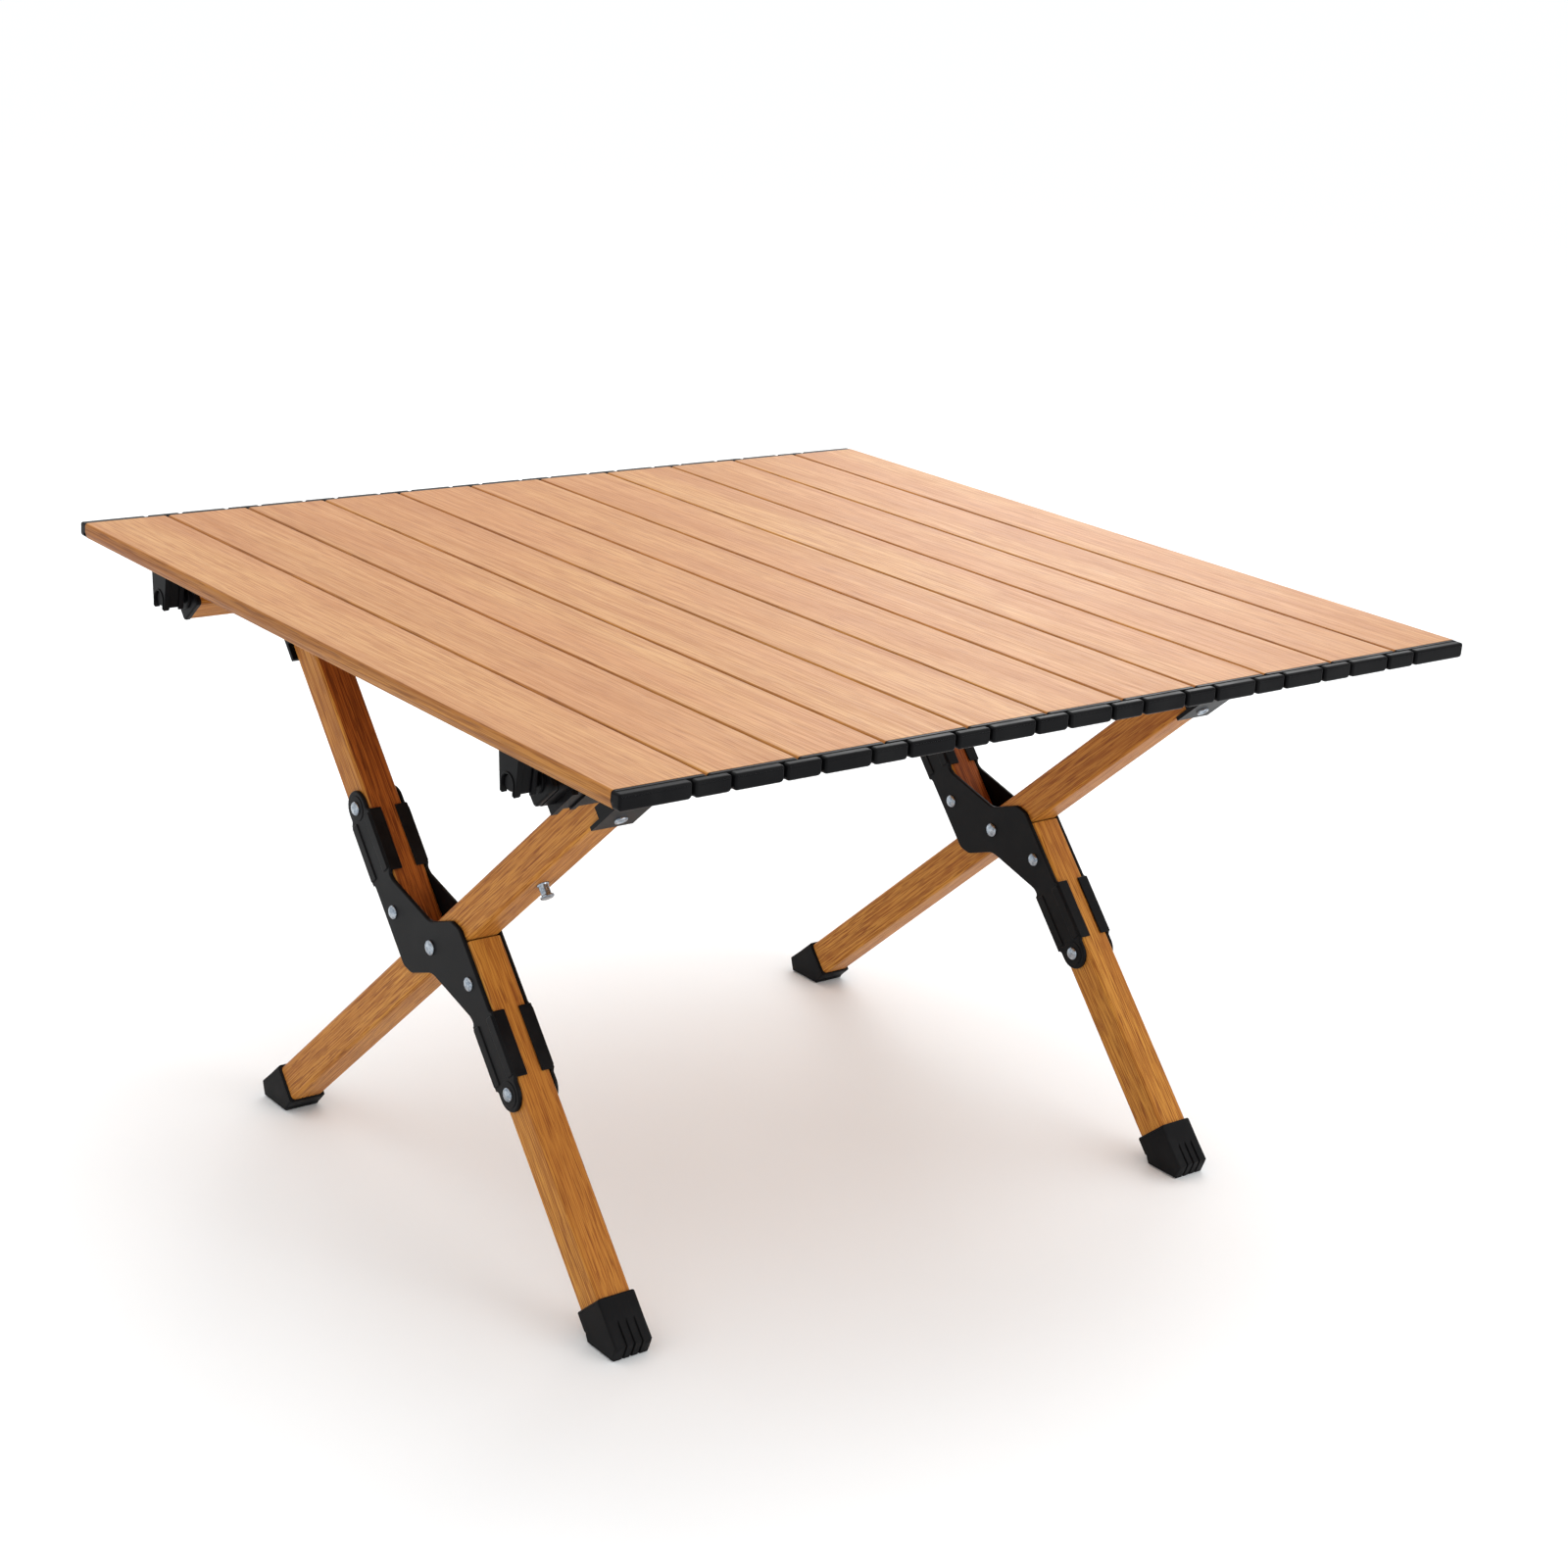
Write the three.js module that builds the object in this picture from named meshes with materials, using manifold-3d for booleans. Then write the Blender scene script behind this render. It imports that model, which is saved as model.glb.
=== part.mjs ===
// Folding side table with a roll-up slatted top on two X frames.
// Millimetres, +Z up, +X across the slats, +Y along the slats, origin on the floor under the top's centre.
import * as THREE from 'three';
import * as BufferGeometryUtils from 'three/addons/utils/BufferGeometryUtils.js';
import Module from 'manifold-3d';

const wasm = await Module();
wasm.setup();

// ---- Top ----
const SLAT_COUNT = 11;
const SLAT_PITCH = 68.5;
const SLAT_LENGTH = 700;
const SLAT_THICK = 12;
const TABLE_HEIGHT = 450;
const SEAM_GAP = 1.0;            // daylight between neighbouring slats
const SEAM_DEPTH = 7;            // the seam's folding axis below the top surface
const SLAT_BEVEL = 1.6;          // how far the lower edges lean in, so the top can roll underside in
const SLAT_WALL = 1.2;

// ---- End caps and links along the two capped edges ----
const CAP_FLANGE = 3;            // thin plate that closes the slat's end
const CAP_DEPTH = 9;             // flange and raised block together
const BLOCK_FROM_SEAM = 15.6;
const LINK_HALF = 13.4;
const LINK_CLEAR = 0.4;          // running gap between a link and the flange it slides over
const BLOCK_DROP = 0.5;          // raised blocks stop this far short of the slat's top and bottom faces
const BLOCK_CHAMFER = 2.4;       // lower corners of blocks and links

// ---- X frames ----
const FRAME_X = 268;             // centre plane of each X frame
const CROSS_Y = -11;
const CROSS_Z = 214.2;
const LONG_TILT = 42.0;          // degrees from the floor
const HALF_TILT = 48.4;
const HALF_OFFSET = 32.6;        // half legs stand this far either side of the crossing
const LEG_WIDTH = 27;            // along X
const LEG_DEPTH = 28.4;          // in the X frame's plane
const LEG_WALL = 1.5;
const LONG_FOOT_END = 293;       // distances from the crossing along the leg
const HALF_FOOT_END = 292;
const HALF_INNER_END = 15;       // half legs stop here, just short of the leg they cross

// ---- Scissor plates ----
const PLATE_THICK = 2.8;
const PLATE_GAP = 0.3;
const RIVET_FAR = 124.2;         // rivet positions along the half leg
const STRAP_HALF = 13;
const TAB_START = 68;
const TAB_END = 117;
const TAB_THICK = 1.5;
const TAB_REACH = 7.5;
const STRAP_ARC_STEPS = 8;
// Corners of half the plate's outline after its round end, as distances along and across the half leg.
const PLATE_CORNERS = [
  [8, 45.6], [1, 42.6], [-4, 36.6], [-14.5, 11.5], [-19, 6], [-59, -16.5], [-66, -19.6],
];
const PIN_RADIUS = 4;
const PIN_HOLE_RADIUS = 4.1;
const HEAD_RADIUS = 5.6;
const HEAD_HEIGHT = 2.6;
const HEAD_GAP = 0.2;
const DOME_STEPS = 5;

// ---- Rails under the slats ----
const RAIL_SIDE = 27;
const RAIL_HALF_LENGTH = 347;
const RAIL_Y = 235.5;
const RAIL_Z = 418.6;

// ---- Fork brackets between legs and rails ----
const BRACKET_WALL = 3;
const BRACKET_SIDE_WALL = 2.5;
const BRACKET_LENGTH = 49;       // from the rail's face down the leg
const BRACKET_LIP = 8.2;         // how far the side lips reach over the leg's sides
const BRACKET_LIP_START = 13;    // the lips begin this far above the arms' lower ends
const BRACKET_CHEEK = 2;         // the saddle holds the rail up to this far past its centre
const EAR_OUTER_X = 338;         // the near brackets reach out under the rail to here
const EAR_HOLD = 9;              // how far past the rail's centre an ear's two walls reach
const EAR_RIBS = [[338, 333.5, 2.2], [324, 320, 1.2]];   // outer X, inner X, extra height
const FIT_GAP = 0.3;

// ---- Feet ----
const FOOT_WALL = 1.6;
const FOOT_GAP = 0.25;
const FOOT_LENGTH = 33;          // sleeve above the sole, measured on the leg's upper face
const FOOT_TOE_HEIGHT = 11;
const FOOT_HEEL_HEIGHT = 4.4;
const FOOT_TOE_SET = 4;          // the sole starts this far in from the toe
const FOOT_HEEL_SET = 3;

// ---- Clips under the end slats ----
const CLIP_OUTER_X = 372;
const CLIP_LENGTH = 15.5;
const CLIP_TOP_HALF = 11.5;
const CLIP_FOOT_HALF = 8.9;
const CLIP_BOTTOM_Z = 411;
const CLIP_CHANNEL_RADIUS = 6.1;
const CLIP_ARCH_STEPS = 10;

// ---- Stud on the left long leg's lower face ----
const STUD_ALONG = 140;
const STUD_RADIUS = 3.4;
const STUD_COLLAR_RADIUS = 5.4;
const STUD_LENGTH = 10;
const STUD_COLLAR = 1.8;

const JOIN = 0.5;                // solids that are joined overlap by this much
const CUT_PAST = 5;              // cutting solids reach this far past what they cut

const ROUND_STEPS = 32;
const TOP_HALF_X = SLAT_COUNT * SLAT_PITCH / 2;
const SLAT_UNDER_Z = TABLE_HEIGHT - SLAT_THICK;
const SEAM_Z = TABLE_HEIGHT - SEAM_DEPTH;

const wood = new THREE.MeshStandardMaterial({ color: 0xc98a4e, roughness: 0.45, metalness: 0.1 });
const black = new THREE.MeshStandardMaterial({ color: 0x17181a, roughness: 0.55, metalness: 0.0 });
const rubber = new THREE.MeshStandardMaterial({ color: 0x1c1c1e, roughness: 0.85, metalness: 0.0 });
const steel = new THREE.MeshStandardMaterial({ color: 0xb9bec4, roughness: 0.3, metalness: 1.0 });

const table = new THREE.Group();
table.name = 'folding_side_table';

function addMesh(name, geometry, material) {
  const mesh = new THREE.Mesh(geometry, material.clone());
  mesh.name = name;
  table.add(mesh);
  return mesh;
}

// ---- Solids ----
function toSolid(geometry) {
  const bare = geometry.clone();
  bare.deleteAttribute('normal');
  bare.deleteAttribute('uv');
  const merged = BufferGeometryUtils.mergeVertices(bare, 1e-4);
  return new wasm.Manifold(new wasm.Mesh({
    numProp: 3,
    vertProperties: new Float32Array(merged.attributes.position.array),
    triVerts: new Uint32Array(merged.index.array),
  }));
}

function toGeometry(solid) {
  const mesh = solid.getMesh();
  const geometry = new THREE.BufferGeometry();
  geometry.setAttribute('position', new THREE.BufferAttribute(new Float32Array(mesh.vertProperties), 3));
  geometry.setIndex(new THREE.BufferAttribute(new Uint32Array(mesh.triVerts), 1));
  const flat = geometry.toNonIndexed();
  flat.computeVertexNormals();
  return flat;
}

function box(x0, x1, y0, y1, z0, z1) {
  const geometry = new THREE.BoxGeometry(x1 - x0, y1 - y0, z1 - z0);
  geometry.translate((x0 + x1) / 2, (y0 + y1) / 2, (z0 + z1) / 2);
  return geometry;
}

// A closed outline [[a, b], ...] with optional holes as a THREE.Shape.
function outline(points, holes = []) {
  const shape = new THREE.Shape(points.map(([a, b]) => new THREE.Vector2(a, b)));
  for (const hole of holes) {
    shape.holes.push(new THREE.Path(hole.map(([a, b]) => new THREE.Vector2(a, b))));
  }
  return shape;
}

// Extrudes an outline given in (Y, Z) along X, from x0 to x1.
function alongX(shape, x0, x1) {
  const geometry = new THREE.ExtrudeGeometry(shape, { depth: x1 - x0, bevelEnabled: false, steps: 1 });
  const toWorld = new THREE.Matrix4().makeBasis(
    new THREE.Vector3(0, 1, 0), new THREE.Vector3(0, 0, 1), new THREE.Vector3(1, 0, 0));
  geometry.applyMatrix4(toWorld);
  geometry.translate(x0, 0, 0);
  return geometry;
}

// Extrudes an outline given in (X, Z) along Y, from y0 to y1.
function alongY(shape, y0, y1) {
  const geometry = new THREE.ExtrudeGeometry(shape, { depth: y1 - y0, bevelEnabled: false, steps: 1 });
  const toWorld = new THREE.Matrix4().makeBasis(
    new THREE.Vector3(1, 0, 0), new THREE.Vector3(0, 0, 1), new THREE.Vector3(0, -1, 0));
  geometry.applyMatrix4(toWorld);
  geometry.translate(0, y1, 0);
  return geometry;
}

// ---- Leg directions in the (Y, Z) plane ----
// "along" points up the leg, "across" points to the leg's lower side.
function legFrame(tiltDegrees, leansToPlusY) {
  const tilt = THREE.MathUtils.degToRad(tiltDegrees);
  const side = leansToPlusY ? 1 : -1;
  return {
    along: [side * Math.cos(tilt), Math.sin(tilt)],
    across: [side * Math.sin(tilt), -Math.cos(tilt)],
  };
}

const LONG_LEG = legFrame(LONG_TILT, false);
const HALF_LEG = legFrame(HALF_TILT, true);

// A point s along and q across, counted from the crossing.
function onLeg(frame, s, q) {
  return [
    CROSS_Y + frame.along[0] * s + frame.across[0] * q,
    CROSS_Z + frame.along[1] * s + frame.across[1] * q,
  ];
}

// The same point read back as [s, q].
function legCoordinates(frame, [y, z]) {
  const dy = y - CROSS_Y;
  const dz = z - CROSS_Z;
  return [
    dy * frame.along[0] + dz * frame.along[1],
    dy * frame.across[0] + dz * frame.across[1],
  ];
}

function legBlock(frame, s0, s1, q0, q1, x0, x1) {
  const corners = [[s0, q0], [s1, q0], [s1, q1], [s0, q1]].map(([s, q]) => onLeg(frame, s, q));
  return alongX(counterClockwise(corners), x0, x1);
}

function counterClockwise(points) {
  const area = THREE.ShapeUtils.area(points.map(([a, b]) => new THREE.Vector2(a, b)));
  return outline(area < 0 ? [...points].reverse() : points);
}

// A rectangular tube along a leg, open at both ends.
function legTube(frame, s0, s1, q, frameX) {
  const halfWidth = LEG_WIDTH / 2;
  const halfDepth = LEG_DEPTH / 2;
  const skin = toSolid(legBlock(frame, s0, s1, q - halfDepth, q + halfDepth,
    frameX - halfWidth, frameX + halfWidth));
  const core = toSolid(legBlock(frame, s0 - CUT_PAST, s1 + CUT_PAST, q - halfDepth + LEG_WALL, q + halfDepth - LEG_WALL,
    frameX - halfWidth + LEG_WALL, frameX + halfWidth - LEG_WALL));
  return skin.subtract(core);
}

function crossingHole(radius, x0, x1) {
  const geometry = new THREE.CylinderGeometry(radius, radius, x1 - x0, ROUND_STEPS);
  geometry.rotateZ(Math.PI / 2);
  geometry.translate((x0 + x1) / 2, CROSS_Y, CROSS_Z);
  return toSolid(geometry);
}

// ---- Rails: square tubes turned to stand with their legs ----
const RAIL_ENDS = {
  near: { frame: LONG_LEG, centre: [-RAIL_Y, RAIL_Z] },
  far: { frame: HALF_LEG, centre: [RAIL_Y, RAIL_Z] },
};
for (const rail of Object.values(RAIL_ENDS)) {
  [rail.s, rail.q] = legCoordinates(rail.frame, rail.centre);
}

function railSquare(rail, half) {
  return [[-half, -half], [half, -half], [half, half], [-half, half]]
    .map(([ds, dq]) => onLeg(rail.frame, rail.s + ds, rail.q + dq));
}

function addRail(which) {
  const rail = RAIL_ENDS[which];
  const skin = toSolid(alongX(counterClockwise(railSquare(rail, RAIL_SIDE / 2)),
    -RAIL_HALF_LENGTH, RAIL_HALF_LENGTH));
  const core = toSolid(alongX(counterClockwise(railSquare(rail, RAIL_SIDE / 2 - LEG_WALL)),
    -RAIL_HALF_LENGTH - CUT_PAST, RAIL_HALF_LENGTH + CUT_PAST));
  addMesh(`rail_${which}`, toGeometry(skin.subtract(core)), wood);
}

// Distance up the leg at which the leg ends, below the bracket's web and the rail.
function legTopEnd(which) {
  return RAIL_ENDS[which].s - RAIL_SIDE / 2 - 2 * FIT_GAP - BRACKET_WALL;
}

// ---- Slats ----
function slatOutline(inset) {
  const halfTop = (SLAT_PITCH - SEAM_GAP) / 2 - inset;
  const halfBottom = halfTop - SLAT_BEVEL;
  return [
    [-halfBottom, SLAT_UNDER_Z + inset],
    [halfBottom, SLAT_UNDER_Z + inset],
    [halfTop, SEAM_Z],
    [halfTop, TABLE_HEIGHT - inset],
    [-halfTop, TABLE_HEIGHT - inset],
    [-halfTop, SEAM_Z],
  ];
}

function slatName(index) {
  return `slat_${String(index + 1).padStart(2, '0')}`;
}

function slatCentre(index) {
  return -TOP_HALF_X + (index + 0.5) * SLAT_PITCH;
}

function addSlat(index) {
  const profile = outline(slatOutline(0), [slatOutline(SLAT_WALL)]);
  const geometry = alongY(profile, -SLAT_LENGTH / 2, SLAT_LENGTH / 2);
  geometry.translate(slatCentre(index), 0, 0);
  addMesh(slatName(index), geometry, wood);
}

// ---- End caps ----
// A block's face outline in (X, Z), with its two lower corners cut.
function blockOutline(x0, x1) {
  const low = SLAT_UNDER_Z + BLOCK_DROP;
  const high = TABLE_HEIGHT - BLOCK_DROP;
  return [
    [x0 + BLOCK_CHAMFER, low],
    [x1 - BLOCK_CHAMFER, low],
    [x1, low + BLOCK_CHAMFER],
    [x1, high],
    [x0, high],
    [x0, low + BLOCK_CHAMFER],
  ];
}

// One cap: flange, raised block, and the link that reaches over the next slat's flange.
function addCap(index, side) {
  const centre = slatCentre(index);
  const leftSeam = centre - SLAT_PITCH / 2;
  const rightSeam = centre + SLAT_PITCH / 2;
  const isFirst = index === 0;
  const isLast = index === SLAT_COUNT - 1;
  const innerY = SLAT_LENGTH / 2 + FIT_GAP / 3;
  const flangeY = innerY + CAP_FLANGE;
  const outerY = innerY + CAP_DEPTH;
  const blockLeft = isFirst ? leftSeam + SEAM_GAP / 2 : leftSeam + BLOCK_FROM_SEAM;
  const blockRight = isLast ? rightSeam - SEAM_GAP / 2 : rightSeam - BLOCK_FROM_SEAM;

  const flange = alongY(outline(slatOutline(0)), innerY, flangeY);
  flange.translate(centre, 0, 0);
  let cap = toSolid(flange)
    .add(toSolid(alongY(outline(blockOutline(blockLeft, blockRight)), flangeY - JOIN, outerY)));
  if (!isLast) {
    const link = toSolid(alongY(outline(blockOutline(rightSeam - LINK_HALF, rightSeam + LINK_HALF)),
      flangeY + LINK_CLEAR, outerY));
    const root = toSolid(box(rightSeam - LINK_HALF + BLOCK_CHAMFER, rightSeam - SEAM_GAP,
      flangeY - JOIN, flangeY + LINK_CLEAR + JOIN,
      SLAT_UNDER_Z + BLOCK_CHAMFER, TABLE_HEIGHT - BLOCK_CHAMFER));
    cap = cap.add(link).add(root);
  }
  const number = String(index + 1).padStart(2, '0');
  if (side === 'near') {
    cap = cap.mirror([0, 1, 0]);
  }
  addMesh(`cap_${side}_${number}`, toGeometry(cap), black);
}

// ---- Legs ----
function addLongLeg(sideName, frameX) {
  const tube = legTube(LONG_LEG, -LONG_FOOT_END, legTopEnd('near'), 0, frameX);
  const hole = crossingHole(PIN_HOLE_RADIUS, frameX - LEG_WIDTH, frameX + LEG_WIDTH);
  addMesh(`leg_long_${sideName}`, toGeometry(tube.subtract(hole)), wood);
}

function addHalfLegs(sideName, frameX) {
  const upper = legTube(HALF_LEG, HALF_INNER_END, legTopEnd('far'), HALF_OFFSET, frameX);
  addMesh(`leg_upper_${sideName}`, toGeometry(upper), wood);
  const lower = legTube(HALF_LEG, -HALF_FOOT_END, -HALF_INNER_END, -HALF_OFFSET, frameX);
  addMesh(`leg_lower_${sideName}`, toGeometry(lower), wood);
}

// ---- Scissor plates ----
// Half of the S-shaped outline as [s, q]; the other half is the same turned by half a turn.
function plateOutline() {
  const half = [];
  for (let step = 0; step <= STRAP_ARC_STEPS; step += 1) {
    const angle = Math.PI * (step / STRAP_ARC_STEPS) - Math.PI / 2;
    half.push([
      RIVET_FAR + STRAP_HALF * Math.cos(angle),
      HALF_OFFSET + STRAP_HALF * Math.sin(angle),
    ]);
  }
  half.push(...PLATE_CORNERS);
  const other = half.map(([s, q]) => [-s, -q]);
  return [...half, ...other].map(([s, q]) => onLeg(HALF_LEG, s, q));
}

function addPlate(sideName, face, frameX, outward) {
  const legFace = frameX + outward * LEG_WIDTH / 2;
  const near = legFace + outward * PLATE_GAP;
  const far = near + outward * PLATE_THICK;
  const x0 = Math.min(near, far);
  const x1 = Math.max(near, far);
  let plate = toSolid(alongX(counterClockwise(plateOutline()), x0, x1));
  const tabTip = legFace - outward * TAB_REACH;
  const tabX = [Math.min(tabTip, far), Math.max(tabTip, far)];
  for (const end of [1, -1]) {
    const centreQ = end * HALF_OFFSET;
    for (const faceSide of [1, -1]) {
      const inner = centreQ + faceSide * (LEG_DEPTH / 2 + PLATE_GAP);
      const outer = inner + faceSide * TAB_THICK;
      const tab = legBlock(HALF_LEG, end * TAB_START, end * TAB_END,
        Math.min(inner, outer), Math.max(inner, outer), tabX[0], tabX[1]);
      plate = plate.add(toSolid(tab));
      // The strap widens to meet its tabs.
      const strap = legBlock(HALF_LEG, end * TAB_START, end * TAB_END,
        Math.min(centreQ, outer), Math.max(centreQ, outer), x0, x1);
      plate = plate.add(toSolid(strap));
    }
  }
  plate = plate.subtract(crossingHole(PIN_HOLE_RADIUS, x0 - CUT_PAST, x1 + CUT_PAST));
  addMesh(`plate_${sideName}_${face}`, toGeometry(plate), black);
}

// The pin through both plates and the long leg, with a domed head on each end.
function addPivotPin(sideName, frameX) {
  const headFace = LEG_WIDTH / 2 + PLATE_GAP + PLATE_THICK + HEAD_GAP;
  const profile = [new THREE.Vector2(0, -headFace - HEAD_HEIGHT)];
  for (let step = 1; step <= DOME_STEPS; step += 1) {
    const angle = (Math.PI / 2) * (step / DOME_STEPS);
    profile.push(new THREE.Vector2(HEAD_RADIUS * Math.sin(angle), -headFace - HEAD_HEIGHT * Math.cos(angle)));
  }
  profile.push(new THREE.Vector2(PIN_RADIUS, -headFace));
  const upper = profile.map((point) => new THREE.Vector2(point.x, -point.y)).reverse();
  const geometry = new THREE.LatheGeometry([...profile, ...upper], ROUND_STEPS);
  geometry.rotateZ(-Math.PI / 2);
  geometry.translate(frameX, CROSS_Y, CROSS_Z);
  addMesh(`pivot_pin_${sideName}`, toGeometry(toSolid(geometry)), steel);
}

// ---- Fork brackets ----
// Two arms along the leg's upper and lower faces, a web against the rail, and lips over the leg's sides.
function addBracket(which, sideName, side, legQ) {
  const frameX = side * FRAME_X;
  const rail = RAIL_ENDS[which];
  const webFace = rail.s - RAIL_SIDE / 2 - FIT_GAP;
  const halfDepth = LEG_DEPTH / 2 + FIT_GAP;
  const outerHalf = halfDepth + BRACKET_WALL;
  const halfWidth = LEG_WIDTH / 2 + FIT_GAP;
  const outerWidth = halfWidth + BRACKET_SIDE_WALL;
  const bottom = webFace - BRACKET_LENGTH;
  const railLow = rail.q + RAIL_SIDE / 2 + FIT_GAP + BRACKET_WALL;
  const qHigh = legQ - outerHalf;
  const qLow = Math.max(legQ + outerHalf, railLow);
  const block = (s0, s1, q0, q1, halfX) => toSolid(
    legBlock(rail.frame, s0, s1, q0, q1, frameX - halfX, frameX + halfX));

  let body = block(bottom, webFace, legQ - outerHalf, legQ + outerHalf, outerWidth);
  // The saddle that holds the rail from below and from its lower side.
  body = body.add(block(webFace - BRACKET_WALL * 2, rail.s + BRACKET_CHEEK, qHigh, qLow, outerWidth));
  if (which === 'near') {
    body = body.add(bracketEar(rail, side));
  }
  body = body.subtract(toSolid(alongX(counterClockwise(railSquare(rail, RAIL_SIDE / 2 + FIT_GAP)),
    side * FRAME_X - RAIL_HALF_LENGTH, side * FRAME_X + RAIL_HALF_LENGTH)));
  body = body.subtract(block(bottom - CUT_PAST, legTopEnd(which) + FIT_GAP,
    legQ - halfDepth, legQ + halfDepth, halfWidth));
  // Trimmed level just under the slats.
  body = body.subtract(toSolid(box(frameX - RAIL_HALF_LENGTH, frameX + RAIL_HALF_LENGTH,
    -SLAT_LENGTH, SLAT_LENGTH, SLAT_UNDER_Z - 2 * FIT_GAP, TABLE_HEIGHT)));
  // Window that leaves only lips over the leg's two sides, and bare arms below the lips.
  body = body.subtract(block(bottom - CUT_PAST, webFace - BRACKET_WALL * 3,
    legQ - halfDepth + BRACKET_LIP, legQ + halfDepth - BRACKET_LIP, LEG_WIDTH));
  body = body.subtract(block(bottom - CUT_PAST, bottom + BRACKET_LIP_START,
    legQ - halfDepth, legQ + halfDepth, LEG_WIDTH));
  addMesh(`bracket_${which}_${sideName}`, toGeometry(body), black);
}

// A near bracket's ear: two walls under the rail, out towards its end, with two ribs round them.
function bracketEar(rail, side) {
  const wall = RAIL_SIDE / 2 + FIT_GAP + BRACKET_WALL;
  const shell = (outerX, innerX, reach, hold) => {
    const ends = [side * outerX, side * innerX].sort((a, b) => a - b);
    return toSolid(legBlock(rail.frame, rail.s - reach, rail.s + hold, rail.q - hold, rail.q + reach,
      ends[0], ends[1]));
  };
  let ear = shell(EAR_OUTER_X, FRAME_X, wall, EAR_HOLD);
  for (const [outerX, innerX, extra] of EAR_RIBS) {
    ear = ear.add(shell(outerX, innerX, wall + extra, EAR_HOLD + extra));
  }
  return ear;
}

// ---- Feet ----
// A boot around the leg's end with a flat sole on the floor, a steep toe and a short heel.
function addFoot(name, frame, legQ, legEnd, frameX) {
  const halfDepth = LEG_DEPTH / 2 + FOOT_GAP + FOOT_WALL;
  const halfWidth = LEG_WIDTH / 2 + FOOT_GAP + FOOT_WALL;
  const upperFace = legQ - halfDepth;
  const lowerFace = legQ + halfDepth;
  const down = (q, z) => (z - CROSS_Z - frame.across[1] * q) / frame.along[1];
  const sleeveTop = down(upperFace, FOOT_TOE_HEIGHT) + FOOT_LENGTH;
  const toe = onLeg(frame, down(upperFace, FOOT_TOE_HEIGHT), upperFace);
  const heel = onLeg(frame, down(lowerFace, FOOT_HEEL_HEIGHT), lowerFace);
  const inward = Math.sign(heel[0] - toe[0]);
  const profile = [
    onLeg(frame, sleeveTop, upperFace),
    onLeg(frame, sleeveTop, lowerFace),
    heel,
    [heel[0] - inward * FOOT_HEEL_SET, 0],
    [toe[0] + inward * FOOT_TOE_SET, 0],
    toe,
  ];
  const boot = toSolid(alongX(counterClockwise(profile), frameX - halfWidth, frameX + halfWidth));
  const socket = toSolid(legBlock(frame, -legEnd - FOOT_GAP, sleeveTop + CUT_PAST,
    legQ - LEG_DEPTH / 2 - FOOT_GAP, legQ + LEG_DEPTH / 2 + FOOT_GAP,
    frameX - LEG_WIDTH / 2 - FOOT_GAP, frameX + LEG_WIDTH / 2 + FOOT_GAP));
  addMesh(name, toGeometry(boot.subtract(socket)), rubber);
}

// ---- Clips ----
// An inverted U under an end slat that snaps over the end of a rail.
function addClip(which, sideName, side) {
  const centreY = which === 'near' ? -RAIL_Y : RAIL_Y;
  const top = SLAT_UNDER_Z - FIT_GAP / 2;
  const points = [[centreY - CLIP_TOP_HALF, top], [centreY - CLIP_FOOT_HALF, CLIP_BOTTOM_Z]];
  points.push([centreY - CLIP_CHANNEL_RADIUS, CLIP_BOTTOM_Z]);
  for (let step = 0; step <= CLIP_ARCH_STEPS; step += 1) {
    const angle = Math.PI * (1 - step / CLIP_ARCH_STEPS);
    points.push([
      centreY + CLIP_CHANNEL_RADIUS * Math.cos(angle),
      RAIL_Z + CLIP_CHANNEL_RADIUS * Math.sin(angle),
    ]);
  }
  points.push(
    [centreY + CLIP_CHANNEL_RADIUS, CLIP_BOTTOM_Z],
    [centreY + CLIP_FOOT_HALF, CLIP_BOTTOM_Z],
    [centreY + CLIP_TOP_HALF, top],
  );
  const ends = [side * CLIP_OUTER_X, side * (CLIP_OUTER_X - CLIP_LENGTH)].sort((a, b) => a - b);
  addMesh(`clip_${which}_${sideName}`, alongX(counterClockwise(points), ends[0], ends[1]), black);
}

// ---- Stud ----
function addStud(frameX) {
  const geometry = new THREE.LatheGeometry([
    new THREE.Vector2(0, 0),
    new THREE.Vector2(STUD_RADIUS, 0),
    new THREE.Vector2(STUD_RADIUS, STUD_LENGTH - STUD_COLLAR),
    new THREE.Vector2(STUD_COLLAR_RADIUS, STUD_LENGTH - STUD_COLLAR),
    new THREE.Vector2(STUD_COLLAR_RADIUS, STUD_LENGTH),
    new THREE.Vector2(0, STUD_LENGTH),
  ], ROUND_STEPS / 2);
  const [y, z] = onLeg(LONG_LEG, STUD_ALONG, LEG_DEPTH / 2 + FIT_GAP / 2);
  const direction = new THREE.Vector3(0, LONG_LEG.across[0], LONG_LEG.across[1]);
  const turn = new THREE.Quaternion().setFromUnitVectors(new THREE.Vector3(0, 1, 0), direction);
  geometry.applyQuaternion(turn);
  geometry.translate(frameX, y, z);
  addMesh('stud_left', toGeometry(toSolid(geometry)), steel);
}

// ---- Assembly ----
for (let index = 0; index < SLAT_COUNT; index += 1) {
  addSlat(index);
  addCap(index, 'near');
  addCap(index, 'far');
}
addRail('near');
addRail('far');
for (const [sideName, side] of [['left', -1], ['right', 1]]) {
  const frameX = side * FRAME_X;
  addLongLeg(sideName, frameX);
  addHalfLegs(sideName, frameX);
  addPlate(sideName, 'outer', frameX, side);
  addPlate(sideName, 'inner', frameX, -side);
  addPivotPin(sideName, frameX);
  addBracket('near', sideName, side, 0);
  addBracket('far', sideName, side, HALF_OFFSET);
  addFoot(`foot_near_${sideName}`, HALF_LEG, -HALF_OFFSET, HALF_FOOT_END, frameX);
  addFoot(`foot_far_${sideName}`, LONG_LEG, 0, LONG_FOOT_END, frameX);
  addClip('near', sideName, side);
  addClip('far', sideName, side);
}
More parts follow.
